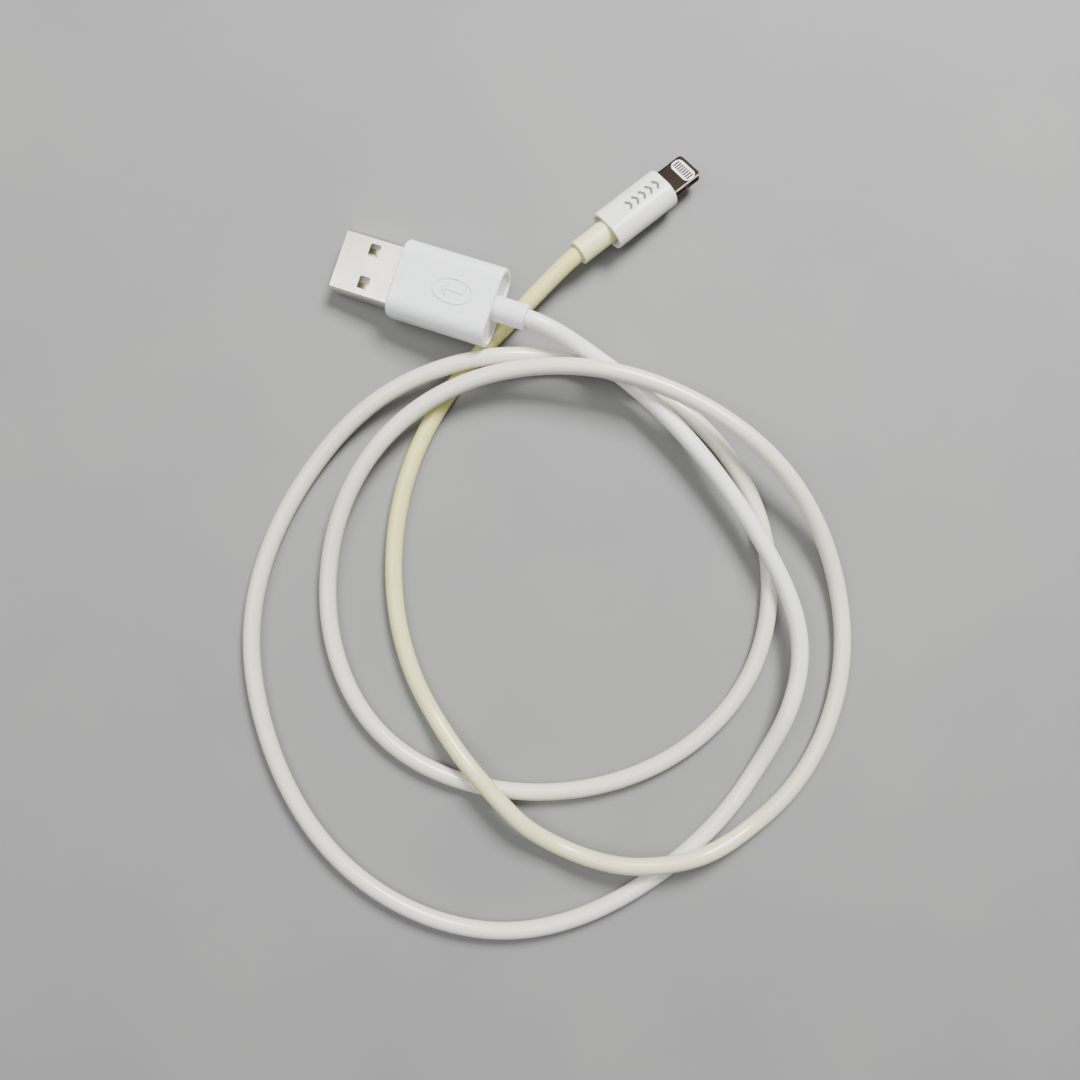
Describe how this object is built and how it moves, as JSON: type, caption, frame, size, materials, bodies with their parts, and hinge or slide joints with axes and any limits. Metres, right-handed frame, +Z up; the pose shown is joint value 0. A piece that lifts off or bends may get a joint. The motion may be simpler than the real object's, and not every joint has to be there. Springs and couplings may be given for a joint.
{
  "type": "charging cable",
  "caption": "Coiled round white charging cord with a flat A-type plug at one end and a slim reversible contact-tab plug at the other, both with short round boots.",
  "frame": {"origin": "middle of the coiled cable's outline, on the surface it rests on", "axes": "+Z up from the resting surface, +Y from the coil towards the two plugs, +X to the right seen from above with the plugs at the far side"},
  "size_m": [0.1184, 0.1522, 0.0116],
  "materials": {
    "housing_white": "smooth moulded, light wear",
    "boot_white": "satin moulded",
    "boot_aged": "satin moulded, yellowed",
    "jacket_white": "satin, slightly soiled",
    "jacket_aged": "satin, yellowed",
    "plated_shell": "bright plated, finely scratched",
    "tab_metal": "polished, dark reflections",
    "contact_gold": "plated",
    "insulator_white": "moulded",
    "inner_plastic": "translucent moulded",
    "board_green": "solder mask",
    "chip_black": "moulded",
    "shield_tin": "tinned sheet",
    "crimp_brass": "drawn",
    "braid_tin": "woven",
    "copper": "bare strands",
    "wire_red": "satin",
    "wire_white": "satin",
    "wire_green": "satin",
    "wire_black": "satin"
  },
  "bodies": {
    "coil": {"coil_jacket": "jacket_white", "coil_braid": "braid_tin", "coil_wire_red": "wire_red", "coil_wire_white": "wire_white", "coil_wire_green": "wire_green", "coil_wire_black": "wire_black", "coil_copper_cores": "copper"},
    "left_arcs": {"left_arcs_jacket": "jacket_white", "left_arcs_braid": "braid_tin", "left_arcs_wire_red": "wire_red", "left_arcs_wire_white": "wire_white", "left_arcs_wire_green": "wire_green", "left_arcs_wire_black": "wire_black", "left_arcs_copper_cores": "copper"},
    "outer_loop": {"outer_loop_jacket": "jacket_white", "outer_loop_braid": "braid_tin", "outer_loop_wire_red": "wire_red", "outer_loop_wire_white": "wire_white", "outer_loop_wire_green": "wire_green", "outer_loop_wire_black": "wire_black", "outer_loop_copper_cores": "copper"},
    "usb_lead": {"usb_lead_jacket": "jacket_white", "usb_lead_braid": "braid_tin", "usb_lead_wires": "wire_white"},
    "phone_lead": {"phone_lead_jacket": "jacket_aged", "phone_lead_braid": "braid_tin", "phone_lead_wires": "wire_white"},
    "usb_plug": {"usb_housing": "housing_white", "usb_boot": "boot_white", "usb_shell": "plated_shell", "usb_tongue": "insulator_white", "usb_contact_power": "contact_gold", "usb_contact_data_minus": "contact_gold", "usb_contact_data_plus": "contact_gold", "usb_contact_ground": "contact_gold", "usb_shield_upper": "shield_tin", "usb_shield_lower": "shield_tin", "usb_inner_mold": "inner_plastic", "usb_crimp_ring": "crimp_brass", "usb_end_jacket": "jacket_white", "usb_end_braid": "braid_tin", "usb_end_wires": "wire_white", "usb_end_cores": "copper"},
    "phone_plug": {"phone_housing": "housing_white", "phone_boot": "boot_aged", "phone_tab": "tab_metal", "phone_insert": "insulator_white", "phone_contacts_upper": "contact_gold", "phone_contacts_lower": "contact_gold", "phone_circuit_board": "board_green", "phone_chip_upper": "chip_black", "phone_chip_lower": "chip_black", "phone_shield_upper": "shield_tin", "phone_shield_lower": "shield_tin", "phone_inner_mold": "inner_plastic", "phone_crimp_ring": "crimp_brass", "phone_end_jacket": "jacket_aged", "phone_end_braid": "braid_tin", "phone_end_wires": "wire_white", "phone_end_cores": "copper"}
  },
  "joints": [
    {"name": "usb_lead_swing", "type": "hinge", "parent": "coil", "child": "usb_lead", "pos_m": [0.0052, 0.04111, 0.00727], "axis": [0, 0, -1], "range_deg": [0, 10]},
    {"name": "usb_plug_lift", "type": "hinge", "parent": "usb_lead", "child": "usb_plug", "pos_m": [-0.00407, 0.0435, 0.01041], "axis": [0.3256, 0.9455, 0], "range_deg": [0, 60]},
    {"name": "phone_lead_swing", "type": "hinge", "parent": "coil", "child": "phone_lead", "pos_m": [-0.00045, 0.04811, 0.00409], "axis": [0, 0, -1], "range_deg": [0, 40]},
    {"name": "phone_plug_lift", "type": "hinge", "parent": "phone_lead", "child": "phone_plug", "pos_m": [0.00604, 0.05646, 0.00733], "axis": [0.6252, -0.7804, 0], "range_deg": [0, 60]},
    {"name": "outer_loop_lift", "type": "hinge", "parent": "coil", "child": "outer_loop", "pos_m": [0.00072, 0.03459, 0.00914], "axis": [0.214, -0.9766, -0.0231], "range_deg": [0, 60]},
    {"name": "left_arcs_lift", "type": "hinge", "parent": "coil", "child": "left_arcs", "pos_m": [-0.02347, 0.03334, 0.00796], "axis": [-0.0045, 0.9991, 0.0418], "range_deg": [0, 60]}
  ]
}
